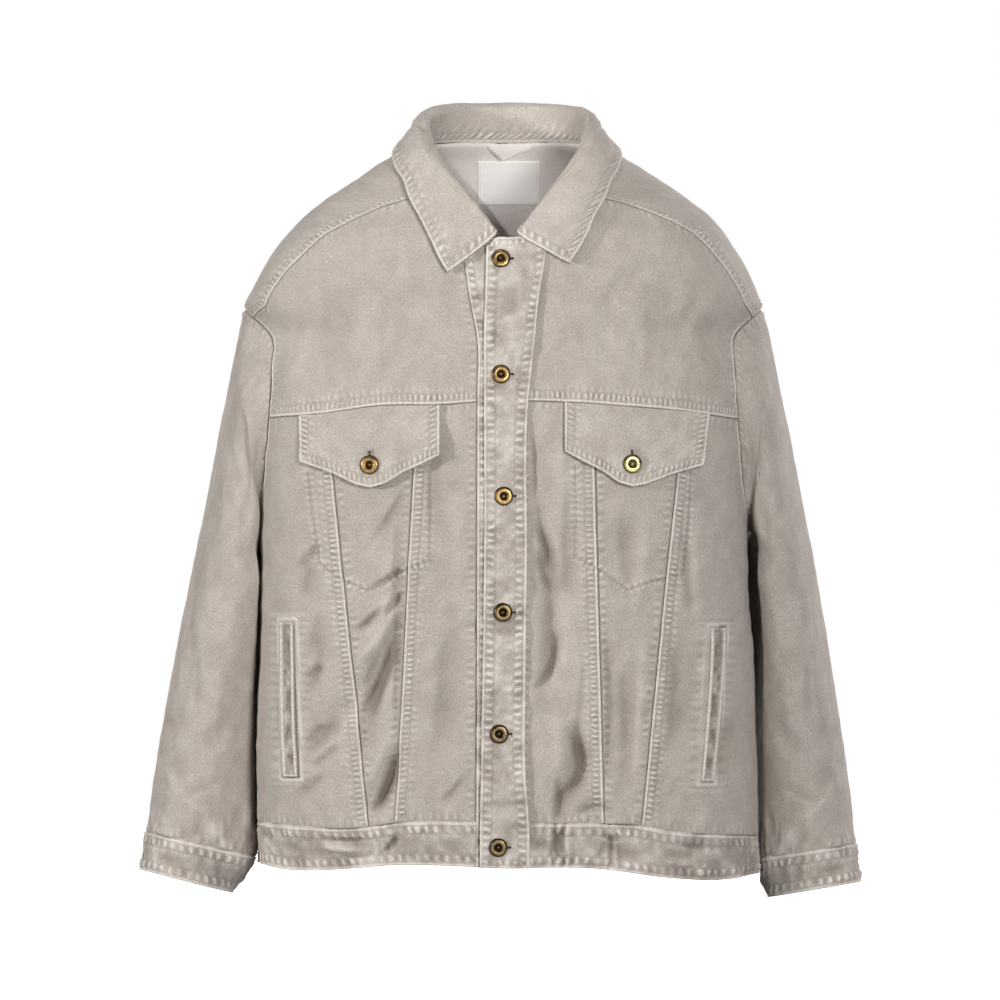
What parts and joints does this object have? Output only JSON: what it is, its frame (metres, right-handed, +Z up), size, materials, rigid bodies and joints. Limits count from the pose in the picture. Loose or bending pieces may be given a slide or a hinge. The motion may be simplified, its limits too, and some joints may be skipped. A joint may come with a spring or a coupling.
{
  "type": "blouson jacket",
  "caption": "Button-front cotton jacket with pointed collar, yoke, buttoned chest flaps, slanted welt pockets, seamed front panels, waistband and cuffs, filled out as worn.",
  "frame": {"origin": "middle of the neck base between the shoulders, where the wearer holds the jacket up", "axes": "+Z up, -Y towards the jacket's front, +X towards the wearer's left"},
  "size_m": [0.6508, 0.2513, 0.7163],
  "materials": {
    "cloth": "washed cotton twill with a brushed face",
    "label_cloth": "smooth woven tape",
    "button_metal": "antique, worn"
  },
  "bodies": {
    "root": {"back_centre": "cloth", "back_side_left": "cloth", "back_side_right": "cloth", "back_yoke": "cloth", "button_flap_left": "button_metal", "button_flap_right": "button_metal", "button_front_1": "button_metal", "button_front_2": "button_metal", "button_front_3": "button_metal", "button_front_4": "button_metal", "button_front_5": "button_metal", "button_front_6": "button_metal", "collar": "cloth", "cuff_left": "cloth", "cuff_right": "cloth", "flap_left": "cloth", "flap_right": "cloth", "front_centre_left": "cloth", "front_centre_right": "cloth", "front_middle_left": "cloth", "front_middle_right": "cloth", "front_side_left": "cloth", "front_side_right": "cloth", "front_yoke_left": "cloth", "front_yoke_right": "cloth", "hanger_loop": "cloth", "label": "label_cloth", "placket_over": "cloth", "placket_under": "cloth", "sleeve_left": "cloth", "sleeve_right": "cloth", "waistband": "cloth", "welt_left": "cloth", "welt_right": "cloth"}
  },
  "joints": []
}
